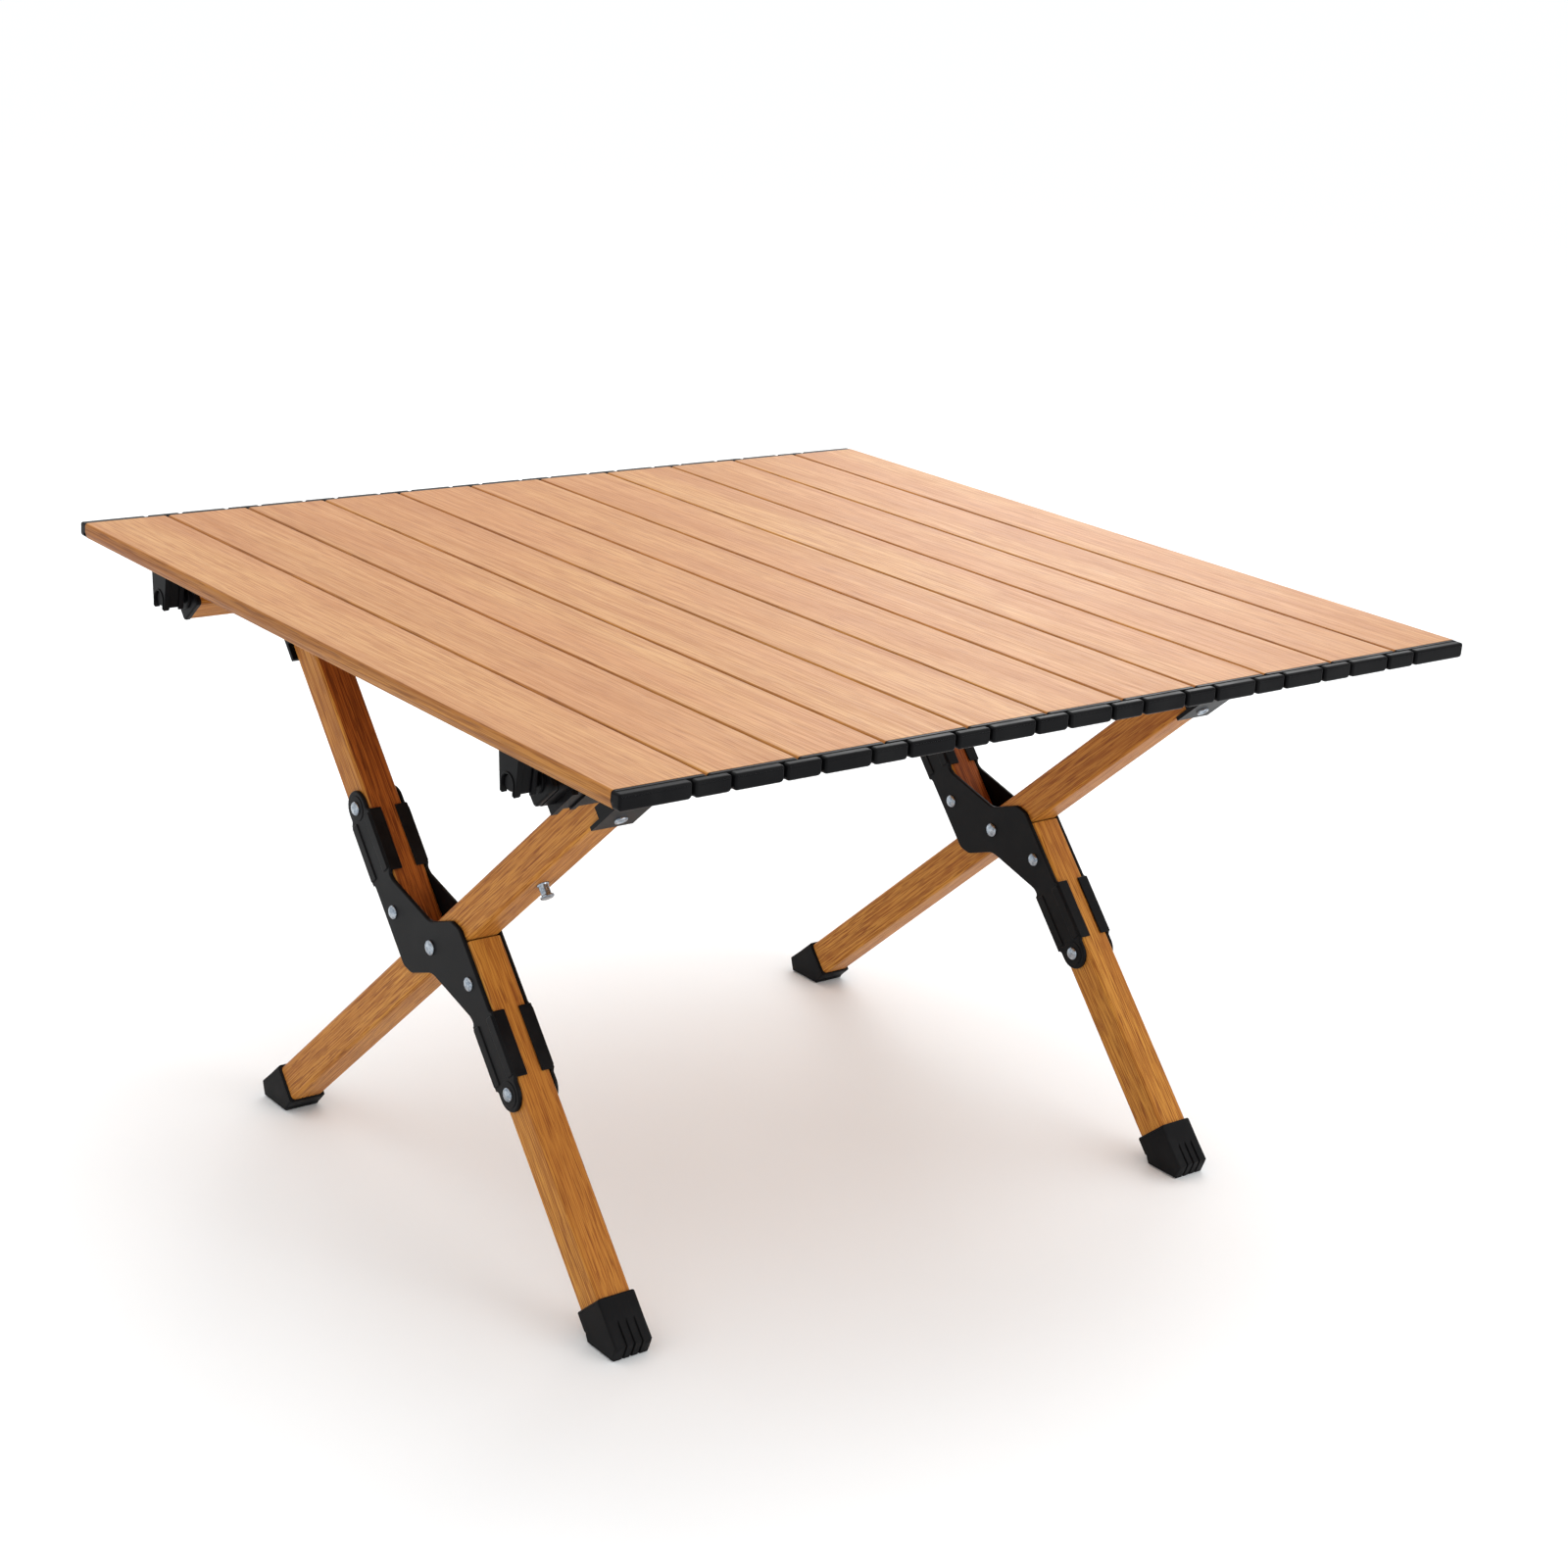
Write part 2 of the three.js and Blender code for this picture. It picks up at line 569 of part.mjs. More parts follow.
addStud(-FRAME_X);

export default table;
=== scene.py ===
import math

import bmesh
import bpy
from mathutils import Matrix, Vector


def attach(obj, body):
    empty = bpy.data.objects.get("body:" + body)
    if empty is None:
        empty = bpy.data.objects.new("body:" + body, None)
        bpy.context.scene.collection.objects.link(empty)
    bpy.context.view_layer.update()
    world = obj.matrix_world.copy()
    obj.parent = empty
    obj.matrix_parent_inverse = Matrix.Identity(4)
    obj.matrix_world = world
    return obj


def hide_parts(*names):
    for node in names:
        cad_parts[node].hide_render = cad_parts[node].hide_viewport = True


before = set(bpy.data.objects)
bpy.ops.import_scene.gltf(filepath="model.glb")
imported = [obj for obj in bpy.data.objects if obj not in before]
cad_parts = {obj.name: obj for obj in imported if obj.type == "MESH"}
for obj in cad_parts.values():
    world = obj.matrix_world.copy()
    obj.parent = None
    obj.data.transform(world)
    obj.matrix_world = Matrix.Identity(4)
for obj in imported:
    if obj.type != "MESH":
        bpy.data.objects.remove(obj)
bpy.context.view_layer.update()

MM = 0.001
CREASE_ANGLE = 50

# ---- Driving dimensions of the table, in millimetres ----
SLAT_COUNT = 11
SLAT_PITCH = 68.5
SLAT_LENGTH = 700
SLAT_THICK = 12
TABLE_HEIGHT = 450
SEAM_GAP = 1.0
SEAM_DEPTH = 7
SLAT_LEAN = 1.6
SLAT_UNDER = TABLE_HEIGHT - SLAT_THICK
SLAT_HALF = (SLAT_PITCH - SEAM_GAP) / 2

CAP_INNER = SLAT_LENGTH / 2 + 0.1
CAP_FLANGE = 3
CAP_OUTER = CAP_INNER + 9
BLOCK_FROM_SEAM = 15.6
LINK_HALF = 13.4
BLOCK_DROP = 0.5
LINK_CLEAR = 0.4         # running gap between a link and the flange behind it
SLAT_SWELL = 0.15        # a slat's film stands this far outside the CAD slat on either side
SLAT_ROUNDS = [1.2, 1.2, 3, 2.4, 2.4, 3]
BLOCK_ROUNDS = [2.6, 2.6, 1.8, 1.8]
CAP_SHRINK = 0.15
CAP_RIM = 1.9
NECK_INSET = 3           # the neck that joins a link to its cap, inside the link's outline
NECK_REACH = 1.2
SINK = 0.4               # joined solids run this far into each other

FRAME_X = 268
CROSS_Y = -11
CROSS_Z = 214.2
LONG_TILT = 42.0
HALF_TILT = 48.4
HALF_OFFSET = 32.6
LEG_WIDTH = 27
LEG_DEPTH = 28.4
LEG_WALL = 1.5
LEG_ROUND = 3.2
LONG_FOOT_END = 293
HALF_FOOT_END = 292
HALF_INNER_END = 15

PLATE_THICK = 2.8
PLATE_GAP = 0.3
PLATE_RIM = 1.3
RIVET_FAR = 124.2
RIVET_NEAR = 41.2
STRAP_HALF = 13
TAB_START = 68
TAB_END = 117
TAB_THICK = 1.5
TAB_REACH = 7.5
TAB_SWELL = 2.6          # the strap is this much wider beside its tabs
RIB_INNER = 6.2          # the raised ribs of a strap, either side of its centre line
RIB_OUTER = 14.6
RIB_RISE = 0.9
BOSS_RADIUS = 9.6
BOSS_RISE = 0.5
RIVET_RADIUS = 5.2
RIVET_HEIGHT = 2.5
PIN_HEAD_RADIUS = 5.6
PIN_HEAD_HEIGHT = 2.6
PIN_RADIUS = 4.0
HEAD_GAP = 0.2

RAIL_SIDE = 27
RAIL_HALF_LENGTH = 347
RAIL_Y = 235.5
RAIL_Z = 418.6
RAIL_ROUND = 2.6
PLUG_OVERHANG = 0.6      # the plug's collar stands this far outside the rail's faces
PLUG_ROUND = 3
PLUG_LENGTH = 4.2
SLEEVE_OVERHANG = 1
SLEEVE_WALL = 0.85
SLEEVE_ROUND = 3.5
SPIGOT_LENGTH = 16
# (radius, distance past the rail's end)
PEG_PROFILE = [(0, 3.6), (9.5, 3.6), (9.5, 5.4), (8.9, 6.0), (5.5, 6.0), (5.5, 23.0), (4.9, 23.8),
               (0, 23.8)]

BRACKET_WALL = 3
BOLT_BELOW_RAIL = 50.5
FIT_GAP = 0.3
EAR_OUTER_X = 338
LIP_INNER_X = 285.2      # the thin lip over the ear, along the rail
LIP_START = 9.1          # distances from the rail's centre
LIP_REACH = 8
LIP_GAP = 0.2
LIP_THICK = 1.2
LIP_SIDE = 1.8
LIP_ROUNDS = [0.2, 0.2, 0.5, 0.5, 1.6, 0.2]
EDGE_SOFTNESS = 0.5
EDGE_ANGLE = 30          # the bracket's edges that turn by more than this are softened, in degrees
FLAT_ANGLE = 1           # its faces that turn by less than this are merged first

FOOT_SKIN = 1.85
FOOT_LENGTH = 36
FOOT_TOE_HEIGHT = 11
FOOT_HEEL_HEIGHT = 4.4
FOOT_RIM = 0.9
FOOT_SKIRT = 14          # the heel face runs straight this far below the rim
GROOVE_DEPTH = 1.3
GROOVE_PLACES = (-6.6, 0.0, 6.6)
GROOVE_HALF = 0.6
GROOVE_FLANK = 0.4
GROOVE_TOP = 0.44        # a groove is at full depth up to this share of the boot's length
GROOVE_FADE = 0.52       # and gone from this share on
# (distance in from the boot's side, how far the outline is drawn in there)
CHEEK_STEPS = [(0, 1.6), (0.5, 0.7), (1.6, 0)]

CLIP_OUTER_X = 372
CLIP_INNER_X = 356.5
CLIP_TOP_HALF = 11.5
CLIP_FOOT_HALF = 8.9
CLIP_BOTTOM = 411
CLIP_CHANNEL = 6.1
CLIP_RIB = 3.8           # thickness of each of a clip's two U-shaped ribs
CLIP_LIP = 1.6           # width of the pointed lips at the mouth
CLIP_WEB_INSET = 1.3
CLIP_RIM_WIDTH = 1.5
CLIP_ARC_STEPS = 14

BOLT_RADIUS = 4.8
BOLT_SOCKET = 2.6
BOLT_HEIGHT = 1.5
STUD_UP_LEG = 140        # from the crossing
# (radius, height above the leg's lower face)
STUD_PROFILE = [(0, 0.1), (4.4, 0.1), (4.4, 0.9), (3.7, 1.6), (3.6, 8.0), (4.0, 8.5), (4.9, 8.9),
                (5.0, 9.8), (4.4, 10.4), (0, 10.6)]

SIDES = {"left": -1, "right": 1}
ENDS = {"near": -1, "far": 1}


# ---- Outlines ----
MITRE_LIMIT = 0.3        # keeps a very sharp corner from moving far when its outline is drawn in
CORNER_SHARE = 0.45      # a rounding takes at most this share of its shorter side
NEARLY_STRAIGHT = 88     # half a corner's angle in degrees, from which the corner stays as it is
SMALLEST_REACH = 0.02


def area_of(points):
    total = 0
    for (ax, ay), (bx, by) in zip(points, points[1:] + points[:1]):
        total += ax * by - bx * ay
    return total / 2


def inset(points, distance):
    """The outline moved inwards by distance, with as many points."""
    turn = 1 if area_of(points) > 0 else -1
    count = len(points)
    normals = []
    for index in range(count):
        ax, ay = points[index]
        bx, by = points[(index + 1) % count]
        length = math.hypot(bx - ax, by - ay)
        normals.append((-(by - ay) / length * turn, (bx - ax) / length * turn))
    moved = []
    for index in range(count):
        nx, ny = normals[index - 1]
        mx, my = normals[index]
        share = distance / max(MITRE_LIMIT, 1 + nx * mx + ny * my)
        moved.append((points[index][0] + (nx + mx) * share, points[index][1] + (ny + my) * share))
    return moved


def fillet(points, radii, steps=4):
    """The outline with each corner rounded; radii is one number or one for each corner."""
    if not isinstance(radii, (list, tuple)):
        radii = [radii] * len(points)
    rounded = []
    for index, radius in enumerate(radii):
        corner = Vector(points[index])
        back = Vector(points[index - 1]) - corner
        ahead = Vector(points[(index + 1) % len(points)]) - corner
        room = CORNER_SHARE * min(back.length, ahead.length)
        back.normalize()
        ahead.normalize()
        half = math.acos(max(-1, min(1, back.dot(ahead)))) / 2
        reach = min(radius / math.tan(half), room) if half < math.radians(NEARLY_STRAIGHT) else 0
        if reach < SMALLEST_REACH:
            rounded.append(tuple(corner))
            continue
        middle = corner + (back + ahead).normalized() * reach / math.cos(half)
        first = corner + back * reach - middle
        last = corner + ahead * reach - middle
        sweep = math.atan2(first.x * last.y - first.y * last.x, first.dot(last))
        for step in range(steps + 1):
            angle = sweep * step / steps
            cosine, sine = math.cos(angle), math.sin(angle)
            rounded.append((middle.x + first.x * cosine - first.y * sine,
                            middle.y + first.x * sine + first.y * cosine))
    return rounded


def rectangle(a0, a1, b0, b1):
    return [(a0, b0), (a1, b0), (a1, b1), (a0, b1)]


def arc(centre, radius, start, end, steps):
    points = []
    for step in range(steps + 1):
        angle = math.radians(start + (end - start) * step / steps)
        points.append((centre[0] + radius * math.cos(angle), centre[1] + radius * math.sin(angle)))
    return points


# ---- Directions in the X frames ----
def leg_frame(tilt, side):
    angle = math.radians(tilt)
    return {
        "along": (side * math.cos(angle), math.sin(angle)),
        "across": (side * math.sin(angle), -math.cos(angle)),
    }


LONG_LEG = leg_frame(LONG_TILT, -1)
HALF_LEG = leg_frame(HALF_TILT, 1)


def on_leg(leg, s, q):
    """(y, z) of a point s up the leg from the crossing and q towards its lower side."""
    return (CROSS_Y + leg["along"][0] * s + leg["across"][0] * q,
            CROSS_Z + leg["along"][1] * s + leg["across"][1] * q)


def leg_coordinates(leg, y, z):
    dy, dz = y - CROSS_Y, z - CROSS_Z
    return (dy * leg["along"][0] + dz * leg["along"][1],
            dy * leg["across"][0] + dz * leg["across"][1])


RAILS = {}
for which, leg in (("near", LONG_LEG), ("far", HALF_LEG)):
    rail_s, rail_q = leg_coordinates(leg, ENDS[which] * RAIL_Y, RAIL_Z)
    RAILS[which] = {"leg": leg, "s": rail_s, "q": rail_q}


# Each of these turns an outline point (u, v) and a depth w into a place.
def side_on(leg):
    return lambda u, v, w: (w, *on_leg(leg, u, v))


def down_the_leg(leg, frame_x, leg_q):
    return lambda u, v, w: (frame_x + u, *on_leg(leg, w, leg_q + v))


def around_rail(rail, side=1):
    return lambda u, v, w: (side * w, *on_leg(rail["leg"], rail["s"] + u, rail["q"] + v))


def facing_y(sign):
    return lambda u, v, w: (u, sign * w, v)


def facing_x(sign):
    return lambda u, v, w: (sign * w, u, v)


# ---- Solids ----
def ring_of(mesh, outline, depth, place):
    return [mesh.verts.new(place(u, v, depth)) for u, v in outline]


def bridge(mesh, lower, upper):
    count = len(lower)
    for index in range(count):
        ahead = (index + 1) % count
        mesh.faces.new((lower[index], lower[ahead], upper[ahead], upper[index]))


def rounded_levels(depth0, depth1, round0, round1, steps):
    """(depth, inset) pairs from one end face to the other."""
    sign = 1 if depth1 > depth0 else -1
    levels = []
    if round0:
        for step in range(steps):
            angle = math.pi / 2 * step / steps
            depth = depth0 + sign * round0 * (1 - math.cos(angle))
            levels.append((depth, round0 * (1 - math.sin(angle))))
    levels.append((depth0 + sign * round0, 0))
    levels.append((depth1 - sign * round1, 0))
    if round1:
        for step in range(1, steps + 1):
            angle = math.pi / 2 * step / steps
            depth = depth1 - sign * round1 * (1 - math.sin(angle))
            levels.append((depth, round1 * (1 - math.cos(angle))))
    return levels


def prism(mesh, outline, depth0, depth1, place, round0=0, round1=0, steps=3):
    """A closed solid of the outline between two depths, with rounded rims."""
    rings = [ring_of(mesh, inset(outline, cut) if cut else outline, depth, place)
             for depth, cut in rounded_levels(depth0, depth1, round0, round1, steps)]
    for lower, upper in zip(rings, rings[1:]):
        bridge(mesh, lower, upper)
    mesh.faces.new(rings[0])
    mesh.faces.new(rings[-1])


def tube(mesh, outline, wall, depth0, depth1, place):
    """A closed pipe of the outline, open at both ends."""
    bore = inset(outline, wall)
    rings = [ring_of(mesh, outline, depth0, place), ring_of(mesh, outline, depth1, place),
             ring_of(mesh, bore, depth1, place), ring_of(mesh, bore, depth0, place)]
    for lower, upper in zip(rings, rings[1:] + rings[:1]):
        bridge(mesh, lower, upper)


def lathe(mesh, profile, centre, axis, segments=32):
    """A solid turned about axis; profile is (radius, height) pairs from one pole to the other."""
    up = Vector(axis).normalized()
    side = up.orthogonal().normalized()
    other = up.cross(side)
    middle = Vector(centre)
    rings = []
    for radius, height in profile:
        if radius == 0:
            rings.append([mesh.verts.new(middle + up * height)])
            continue
        ring = []
        for index in range(segments):
            angle = 2 * math.pi * index / segments
            ring.append(mesh.verts.new(
                middle + up * height + (side * math.cos(angle) + other * math.sin(angle)) * radius))
        rings.append(ring)
    for lower, upper in zip(rings, rings[1:]):
        if len(lower) == 1 or len(upper) == 1:
            tip, rim = (lower[0], upper) if len(lower) == 1 else (upper[0], lower)
            for index in range(segments):
                mesh.faces.new((tip, rim[index], rim[(index + 1) % segments]))
        else:
            bridge(mesh, lower, upper)


def finish_piece(name, mesh, body, material, replaced=()):
    """Turns the built solid into a piece that rides on its body."""
    bmesh.ops.recalc_face_normals(mesh, faces=mesh.faces)
    data = bpy.data.meshes.new(name)
    mesh.to_mesh(data)
    mesh.free()
    data.transform(Matrix.Scale(MM, 4))
    data.shade_smooth()
    data.set_sharp_from_angle(angle=math.radians(CREASE_ANGLE))
    piece = bpy.data.objects.new(name, data)
    bpy.context.scene.collection.objects.link(piece)
    data.materials.append(material)
    weighted = piece.modifiers.new("even_normals", "WEIGHTED_NORMAL")
    weighted.keep_sharp = True
    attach(piece, body)
    if replaced:
        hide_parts(*replaced)


# ---- Materials ----
class Shader:
    """A material's node tree with short ways to add the nodes used here."""

    def __init__(self, name):
        self.material = bpy.data.materials.new(name)
        self.material.use_nodes = True
        self.nodes = self.material.node_tree.nodes
        self.links = self.material.node_tree.links
        self.surface = self.nodes["Principled BSDF"]
        coordinates = self.nodes.new("ShaderNodeTexCoord")
        self.place = coordinates.outputs["Object"]
        self.facing = coordinates.outputs["Normal"]

    def add(self, kind, settings=(), **inputs):
        node = self.nodes.new(kind)
        for key, value in dict(settings).items():
            setattr(node, key, value)
        for key, value in inputs.items():
            self.connect(value, node.inputs[key.replace("_", " ")])
        return node

    def connect(self, value, socket):
        if isinstance(value, bpy.types.NodeSocket):
            self.links.new(value, socket)
        else:
            socket.default_value = value

    def turned(self, rotation, shift):
        node = self.add("ShaderNodeMapping", {"vector_type": "TEXTURE"},
                        Vector=self.place, Location=shift, Rotation=rotation)
        self.place = node.outputs["Vector"]

    def stretched(self, scale):
        node = self.add("ShaderNodeVectorMath", {"operation": "MULTIPLY"})
        self.connect(self.place, node.inputs[0])
        node.inputs[1].default_value = scale
        return node.outputs["Vector"]

    def noise(self, scale, detail=2.0, distortion=0.0):
        node = self.add("ShaderNodeTexNoise", Vector=self.stretched(scale), Scale=1.0,
                        Detail=detail, Distortion=distortion)
        return node.outputs["Fac"]

    def waves(self, scale, distortion, detail_scale):
        node = self.add("ShaderNodeTexWave", {"bands_direction": "DIAGONAL", "wave_profile": "SIN"},
                        Vector=self.stretched(scale), Scale=1.0, Distortion=distortion,
                        Detail=2.0, Detail_Scale=detail_scale)
        return node.outputs["Fac"]

    def ramp(self, value, low, high, to_low=0.0, to_high=1.0):
        node = self.add("ShaderNodeMapRange", {"interpolation_type": "SMOOTHSTEP"})
        for socket, given in zip(("Value", "From Min", "From Max", "To Min", "To Max"),
                                 (value, low, high, to_low, to_high)):
            self.connect(given, node.inputs[socket])
        return node.outputs["Result"]

    def mix(self, amount, first, second):
        node = self.add("ShaderNodeMix", {"data_type": "RGBA"})
        self.connect(amount, node.inputs["Factor"])
        for socket, colour in (("A", first), ("B", second)):
            slot = next(s for s in node.inputs if s.name == socket and s.type == "RGBA")
            self.connect(colour, slot)
        return next(s for s in node.outputs if s.type == "RGBA")

    def sum(self, first, second, weight):
        node = self.add("ShaderNodeMath", {"operation": "MULTIPLY_ADD"})
        for socket, value in zip(node.inputs, (second, weight, first)):
            self.connect(value, socket)
        return node.outputs["Value"]

    def bump(self, height, distance, strength=1.0):
        node = self.add("ShaderNodeBump", Height=height, Distance=distance, Strength=strength)
        self.connect(node.outputs["Normal"], self.surface.inputs["Normal"])

    def set(self, **inputs):
        for key, value in inputs.items():
            self.connect(value, self.surface.inputs[key.replace("_", " ")])


def rgba(red, green, blue):
    return (red, green, blue, 1.0)


# How finely each layer of the film varies, per metre across, along and across the grain.
DRIFT = (20, 2.6, 20)
RINGS = (7.5, 0.5, 7.5)
BANDS = (240, 6.5, 240)
TOP_GRAIN = {"fine": (950, 12, 950), "pores": (1500, 30, 1500)}
FRAME_GRAIN = {"fine": (1000, 17, 1000), "pores": (1500, 40, 1500)}
# How strongly the figure and the streaks show, and how glossy the film is.
TOP_LOOK = {"figure": 0.30, "contrast": 0.55, "gloss": 0.22}
FRAME_LOOK = {"figure": 0.28, "contrast": 0.8, "gloss": 0.15}
# The upward lean of a face where the main colours begin, and where they cover it; the sloped pair places
# the painted shade on the upper half legs.
FLAT_UP = (0.90, 0.985)
PAINTED_SHADE_FACING = (0.5, 0.6)

TOP_PALETTE = {
    "light": rgba(0.560, 0.300, 0.118),
    "warm": rgba(0.520, 0.250, 0.100),
    "streak": rgba(0.385, 0.155, 0.052),
    "pore": rgba(0.300, 0.106, 0.032),
}
FRAME_PALETTE = {
    "light": rgba(0.545, 0.245, 0.042),
    "warm": rgba(0.480, 0.196, 0.033),
    "streak": rgba(0.315, 0.104, 0.016),
    "pore": rgba(0.200, 0.054, 0.009),
}
EDGE_PALETTE = {
    "light": rgba(0.460, 0.198, 0.034),
    "warm": rgba(0.410, 0.154, 0.026),
    "streak": rgba(0.200, 0.056, 0.009),
    "pore": rgba(0.125, 0.031, 0.005),
}
# Painted shade: a darker, redder copy of the frame film for the upper half legs' upward faces. It stands
# in for the shade and warm bounced light under the tabletop; the grain layers are the film's own.
PAINTED_SHADE_PALETTE = {
    "light": rgba(0.350, 0.100, 0.017),
    "warm": rgba(0.280, 0.072, 0.012),
    "streak": rgba(0.150, 0.034, 0.006),
    "pore": rgba(0.100, 0.021, 0.004),
}


def wood_film(name, palette, rotation, shift, grain, look, side_palette=None, facing_up=FLAT_UP):
    """Wood-grain film: broad colour drift, a slow figure, fine streaks along the grain, short pores.

    With a side palette, the main palette stays on the faces that look up and those that look
    straight down, and the side palette covers the others.
    """
    shader = Shader(name)
    shader.turned(rotation, shift)
    drift = shader.noise(DRIFT, detail=2.0)
    rings = shader.waves(RINGS, distortion=11.0, detail_scale=1.2)
    bands = shader.noise(BANDS, detail=2.0, distortion=0.2)
    fine = shader.noise(grain["fine"], detail=2.0, distortion=0.5)
    pores = shader.noise(grain["pores"], detail=1.0, distortion=0.3)
    streaks = shader.ramp(fine, 0.46, 0.58, 0.0, look["contrast"])
    dashes = shader.ramp(pores, 0.54, 0.63, 0.0, look["contrast"])
    figured = shader.ramp(rings, 0.60, 0.98, 0.0, look["figure"])
    banded = shader.ramp(bands, 0.48, 0.66, 0.0, look["figure"])

    def film(colours):
        colour = shader.mix(shader.ramp(drift, 0.36, 0.64), colours["light"], colours["warm"])
        for layer in (banded, figured, streaks):
            colour = shader.mix(layer, colour, colours["streak"])
        return shader.mix(dashes, colour, colours["pore"])

    colour = film(palette)
    if side_palette:
        upward = shader.add("ShaderNodeSeparateXYZ", Vector=shader.facing).outputs["Z"]
        up = shader.ramp(upward, *facing_up)
        down = shader.ramp(upward, -FLAT_UP[1], -FLAT_UP[0], 1.0, 0.0)
        colour = shader.mix(shader.sum(up, down, 1.0), film(side_palette), colour)
    shader.set(Base_Color=colour, Roughness=shader.ramp(fine, 0.3, 0.7, 0.40, 0.50),
               IOR=1.45, Specular_IOR_Level=look["gloss"])
    pits = shader.ramp(pores, 0.5, 0.7, 1.0, 0.0)
    shader.bump(shader.sum(pits, fine, -0.5), 0.00006, 0.5)
    return shader.material


def moulded(name, colour, dusty, roughness, grain, depth, gloss):
    """Moulded plastic or rubber: faint blotches, a fine pitted skin."""
    shader = Shader(name)
    blotches = shader.noise((38, 38, 38), detail=4.0)
    skin = shader.noise((grain, grain, grain), detail=2.0)
    scuffs = shader.noise((90, 1100, 420), detail=3.0, distortion=0.4)
    tint = shader.mix(shader.ramp(blotches, 0.40, 0.75), colour, dusty)
    tint = shader.mix(shader.ramp(scuffs, 0.66, 0.80, 0.0, 0.5), tint, dusty)
    shader.set(Base_Color=tint, Roughness=shader.ramp(blotches, 0.3, 0.7, *roughness), IOR=1.45,
               Specular_IOR_Level=gloss)
    shader.bump(skin, depth, 0.5)
    return shader.material


def plated(name):
    """Bright zinc plate: slightly blue, with a soft cloudy crystal and fine rubbed lines."""
    shader = Shader(name)
    clouds = shader.noise((420, 420, 420), detail=3.0)
    lines = shader.noise((160, 2600, 2600), detail=2.0)
    dark, bright = rgba(0.22, 0.26, 0.31), rgba(0.44, 0.48, 0.52)
    tint = shader.mix(shader.ramp(clouds, 0.35, 0.7), dark, bright)
    shader.set(Base_Color=tint, Metallic=1.0, Roughness=shader.ramp(lines, 0.3, 0.7, 0.16, 0.30))
    shader.bump(lines, 0.00002, 0.4)
    return shader.material


def random_shift(seed):
    """A fixed scatter, so that no two pieces show the same stretch of grain."""
    value = math.sin(seed * 12.9898) * 43758.5453
    return value - math.floor(value)


def shift_for(seed):
    """A place in the grain pattern, between 1 and 10 m along each axis."""
    return tuple(random_shift(seed + step) * 9 + 1 for step in (0, 31, 67))


def slat_film(index):
    warmth = 0.5 * random_shift(index + 5)
    light, warm = TOP_PALETTE["light"], TOP_PALETTE["warm"]
    palette = dict(TOP_PALETTE)
    palette["light"] = tuple(a + (b - a) * warmth for a, b in zip(light, warm))
    return wood_film(f"film_slat_{index + 1:02d}", palette, (0, 0, 0), shift_for(index),
                     TOP_GRAIN, TOP_LOOK, EDGE_PALETTE)


def leg_film(name, tilt, seed):
    return wood_film(name, FRAME_PALETTE, (math.radians(tilt), 0, 0), shift_for(seed),
                     FRAME_GRAIN, FRAME_LOOK)


def upper_leg_film_with_painted_shade(name, tilt, seed):
    """Painted shade: the upper half legs' faces that look up get a darker, redder copy of the film for the
    shade under the tabletop; the grain is the film's own.
    """
    return wood_film(name, PAINTED_SHADE_PALETTE, (math.radians(tilt), 0, 0), shift_for(seed),
                     FRAME_GRAIN, FRAME_LOOK, FRAME_PALETTE, PAINTED_SHADE_FACING)


def rail_film(name, seed):
    return wood_film(name, FRAME_PALETTE, (0, 0, math.pi / 2), shift_for(seed), FRAME_GRAIN, FRAME_LOOK)


satin_black = moulded("satin_black", rgba(0.0040, 0.0040, 0.0046), rgba(0.0075, 0.0075, 0.0080),
                      (0.30, 0.40), 1500, 0.00003, gloss=0.07)
plate_black = moulded("plate_black", rgba(0.0042, 0.0042, 0.0048), rgba(0.0080, 0.0080, 0.0085),
                      (0.34, 0.46), 1100, 0.00004, gloss=0.09)
boot_rubber = moulded("boot_rubber", rgba(0.0048, 0.0048, 0.0054), rgba(0.0100, 0.0100, 0.0106),
                      (0.44, 0.58), 900, 0.00006, gloss=0.09)
zinc = plated("zinc_plate")


# ---- The roll-up top ----
def slat_middle(index):
    return (index + 0.5 - SLAT_COUNT / 2) * SLAT_PITCH


def slat_body(index):
    return f"slat_body_{index + 1:02d}"


def slat_outline(middle, shrink=0.0):
    half, low = SLAT_HALF + SLAT_SWELL - shrink, SLAT_HALF - SLAT_LEAN - shrink
    seam = TABLE_HEIGHT - SEAM_DEPTH
    corners = [
        (middle - low, SLAT_UNDER + shrink), (middle + low, SLAT_UNDER + shrink),
        (middle + half, seam), (middle + half, TABLE_HEIGHT - shrink),
        (middle - half, TABLE_HEIGHT - shrink), (middle - half, seam),
    ]
    return fillet(corners, SLAT_ROUNDS)


def make_slat(index):
    mesh = bmesh.new()
    prism(mesh, slat_outline(slat_middle(index)), -SLAT_LENGTH / 2, SLAT_LENGTH / 2, facing_y(1))
    number = f"{index + 1:02d}"
    finish_piece(f"slat_film_{number}", mesh, slat_body(index),
                 slat_film(index), [f"slat_{number}"])


def block_outline(x0, x1):
    low, high = SLAT_UNDER + BLOCK_DROP, TABLE_HEIGHT - BLOCK_DROP
    return fillet(rectangle(x0, x1, low, high), BLOCK_ROUNDS)


